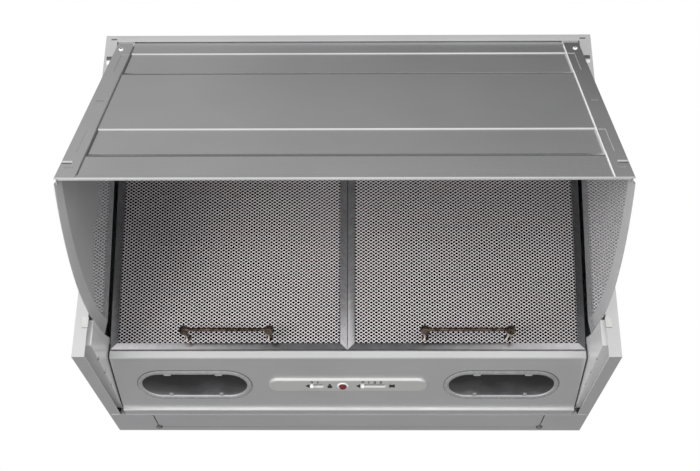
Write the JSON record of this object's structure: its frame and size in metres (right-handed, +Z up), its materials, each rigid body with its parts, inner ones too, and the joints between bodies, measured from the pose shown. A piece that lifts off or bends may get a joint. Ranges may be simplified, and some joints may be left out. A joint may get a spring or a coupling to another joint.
{
  "type": "built-in cooker hood",
  "caption": "Built-in cooker hood with a swing-out canopy between sector cheeks, leaning grease filters, a sloping control panel with lamps, and a blower with a round outlet.",
  "frame": {"origin": "on the wall face, at the middle of the casing's lower rear edge", "axes": "+X to the right seen from the front, +Y into the wall, +Z up"},
  "size_m": [0.598, 0.4987, 0.4596],
  "materials": {
    "casing_paint": "silver semi-gloss paint",
    "canopy_paint": "silver semi-gloss paint",
    "zinc_sheet": "zinc-coated sheet",
    "screw_steel": "zinc-plated steel",
    "white_nylon": "moulded nylon",
    "filter_aluminium": "mill finish",
    "filter_core": "layered expanded foil, in shade",
    "old_bronze": "antique bronze",
    "smoke_lens": "smoky clear moulding",
    "bulb_glass": "frosted",
    "silver_plastic": "silver satin",
    "red_lens": "dark red, translucent",
    "black_plastic": "moulded",
    "wheel_plastic": "moulded",
    "motor_metal": "painted laminations and caps",
    "capacitor_plastic": "moulded"
  },
  "bodies": {
    "casing": {"casing_left_side": "casing_paint", "casing_right_side": "casing_paint", "casing_top": "casing_paint", "casing_back": "casing_paint", "rear_bottom_strip": "casing_paint", "left_inner_plate": "casing_paint", "right_inner_plate": "casing_paint", "control_panel": "casing_paint", "left_hinge_bracket": "zinc_sheet", "right_hinge_bracket": "zinc_sheet", "left_plenum_wall": "zinc_sheet", "right_plenum_wall": "zinc_sheet", "plenum_floor": "zinc_sheet", "filter_top_rail": "zinc_sheet", "left_lamp_tray": "zinc_sheet", "right_lamp_tray": "zinc_sheet", "motor_bracket": "zinc_sheet", "blower_left_cheek": "zinc_sheet", "blower_right_cheek": "zinc_sheet", "blower_scroll": "zinc_sheet", "hinge_pins": "screw_steel", "strip_screws": "screw_steel", "collar_screws": "screw_steel", "hinge_bushes": "white_nylon", "canopy_glides": "white_nylon", "left_lamp_lens": "smoke_lens", "right_lamp_lens": "smoke_lens", "left_bulb": "bulb_glass", "right_bulb": "bulb_glass", "control_strip": "silver_plastic", "indicator_lens": "red_lens", "lamp_holders": "black_plastic", "switch_block": "black_plastic", "canopy_switch": "black_plastic", "outlet_collar": "black_plastic", "cable_gland": "black_plastic", "terminal_box": "black_plastic", "motor": "motor_metal", "capacitor": "capacitor_plastic"},
    "canopy": {"canopy_panel": "canopy_paint", "canopy_left_cheek": "canopy_paint", "canopy_right_cheek": "canopy_paint"},
    "light_slider": {"light_slider": "silver_plastic"},
    "speed_slider": {"speed_slider": "silver_plastic"},
    "impeller": {"impeller": "wheel_plastic", "impeller_shaft": "screw_steel"},
    "front_flap": {"front_flap": "black_plastic"},
    "rear_flap": {"rear_flap": "black_plastic"},
    "left_filter": {"left_filter_frame": "filter_aluminium", "left_filter_front_mesh": "filter_aluminium", "left_filter_core": "filter_core", "left_filter_rear_mesh": "filter_aluminium", "left_filter_handle": "old_bronze", "left_handle_screws": "screw_steel"},
    "right_filter": {"right_filter_frame": "filter_aluminium", "right_filter_front_mesh": "filter_aluminium", "right_filter_core": "filter_core", "right_filter_rear_mesh": "filter_aluminium", "right_filter_handle": "old_bronze", "right_handle_screws": "screw_steel"}
  },
  "joints": [
    {"name": "canopy_swing", "type": "hinge", "parent": "casing", "child": "canopy", "pos_m": [0, -0.28, 0.405], "axis": [1, 0, 0], "range_deg": [0, 34]},
    {"name": "left_filter_tilt", "type": "hinge", "parent": "casing", "child": "left_filter", "pos_m": [0, -0.24532, 0.34219], "axis": [1, 0, 0], "range_deg": [-35, 0]},
    {"name": "right_filter_tilt", "type": "hinge", "parent": "casing", "child": "right_filter", "pos_m": [0, -0.24532, 0.34219], "axis": [1, 0, 0], "range_deg": [-35, 0]},
    {"name": "light_slide", "type": "slide", "parent": "casing", "child": "light_slider", "axis": [1, 0, 0], "range_m": [0, 0.0072]},
    {"name": "speed_slide", "type": "slide", "parent": "casing", "child": "speed_slider", "axis": [1, 0, 0], "range_m": [0, 0.0213]},
    {"name": "wheel_spin", "type": "hinge", "parent": "casing", "child": "impeller", "pos_m": [0, -0.114, 0.205], "axis": [1, 0, 0], "continuous": true},
    {"name": "front_flap_swing", "type": "hinge", "parent": "casing", "child": "front_flap", "pos_m": [0, -0.0647, 0.4279], "axis": [-1, 0, 0], "range_deg": [0, 80]},
    {"name": "rear_flap_swing", "type": "hinge", "parent": "casing", "child": "rear_flap", "pos_m": [0, -0.0583, 0.4279], "axis": [1, 0, 0], "range_deg": [0, 80]}
  ]
}
